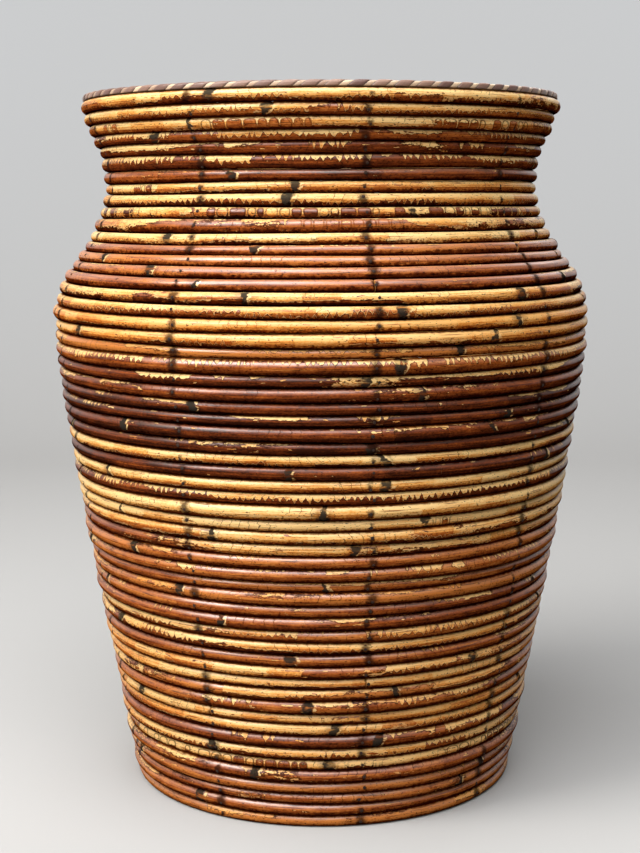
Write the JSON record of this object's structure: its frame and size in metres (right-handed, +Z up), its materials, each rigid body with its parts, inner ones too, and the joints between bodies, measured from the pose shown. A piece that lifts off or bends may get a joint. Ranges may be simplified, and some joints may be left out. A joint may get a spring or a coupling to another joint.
{
  "type": "reed floor vase",
  "caption": "Tall shouldered floor vase of whole round reed, wound in level courses over hidden ribs and hoops on a round board, with a strip-bound rim.",
  "frame": {"origin": "middle of the foot, on the surface that the vase stands on", "axes": "+Z up along the vase's axis, -Y towards the front that the picture shows, +X to its right"},
  "size_m": [0.3806, 0.3859, 0.4901],
  "materials": {
    "reed_straw": "pale straw reed, skin flaked away, satin lacquer",
    "reed_honey": "honey brown reed, skin partly flaked, satin lacquer",
    "reed_chestnut": "red brown stained reed, satin lacquer",
    "reed_umber": "dark brown stained reed, satin lacquer",
    "rib_slat": "raw split cane",
    "rattan_rod": "raw rattan rod",
    "board_wood": "raw sawn board",
    "rim_peel": "glossy cane peel, brown and cream in turn",
    "nail_iron": "darkened iron wire nail"
  },
  "bodies": {
    "root": {"base_board": "board_wood", "rib_1": "rib_slat", "rib_2": "rib_slat", "rib_3": "rib_slat", "rib_4": "rib_slat", "rib_5": "rib_slat", "rib_6": "rib_slat", "rib_7": "rib_slat", "rib_8": "rib_slat", "rib_9": "rib_slat", "waist_hoop": "rattan_rod", "belly_hoop": "rattan_rod", "mouth_hoop": "rattan_rod", "reed_01": "reed_chestnut", "reed_02": "reed_honey", "reed_03": "reed_honey", "reed_04": "reed_straw", "reed_05": "reed_honey", "reed_06": "reed_chestnut", "reed_07": "reed_chestnut", "reed_08": "reed_chestnut", "reed_09": "reed_straw", "reed_10": "reed_honey", "reed_11": "reed_umber", "reed_12": "reed_umber", "reed_13": "reed_honey", "reed_14": "reed_straw", "reed_15": "reed_chestnut", "reed_16": "reed_straw", "reed_17": "reed_straw", "reed_18": "reed_umber", "reed_19": "reed_honey", "rim_core": "rattan_rod", "rim_binding": "rim_peel", "foot_nail_1": "nail_iron", "foot_nail_2": "nail_iron", "foot_nail_3": "nail_iron", "foot_nail_4": "nail_iron", "foot_nail_5": "nail_iron", "foot_nail_6": "nail_iron", "foot_nail_7": "nail_iron", "foot_nail_8": "nail_iron", "foot_nail_9": "nail_iron", "rim_nail_1": "nail_iron", "rim_nail_2": "nail_iron", "rim_nail_3": "nail_iron", "rim_nail_4": "nail_iron", "rim_nail_5": "nail_iron", "rim_nail_6": "nail_iron", "rim_nail_7": "nail_iron", "rim_nail_8": "nail_iron", "rim_nail_9": "nail_iron"}
  },
  "joints": []
}
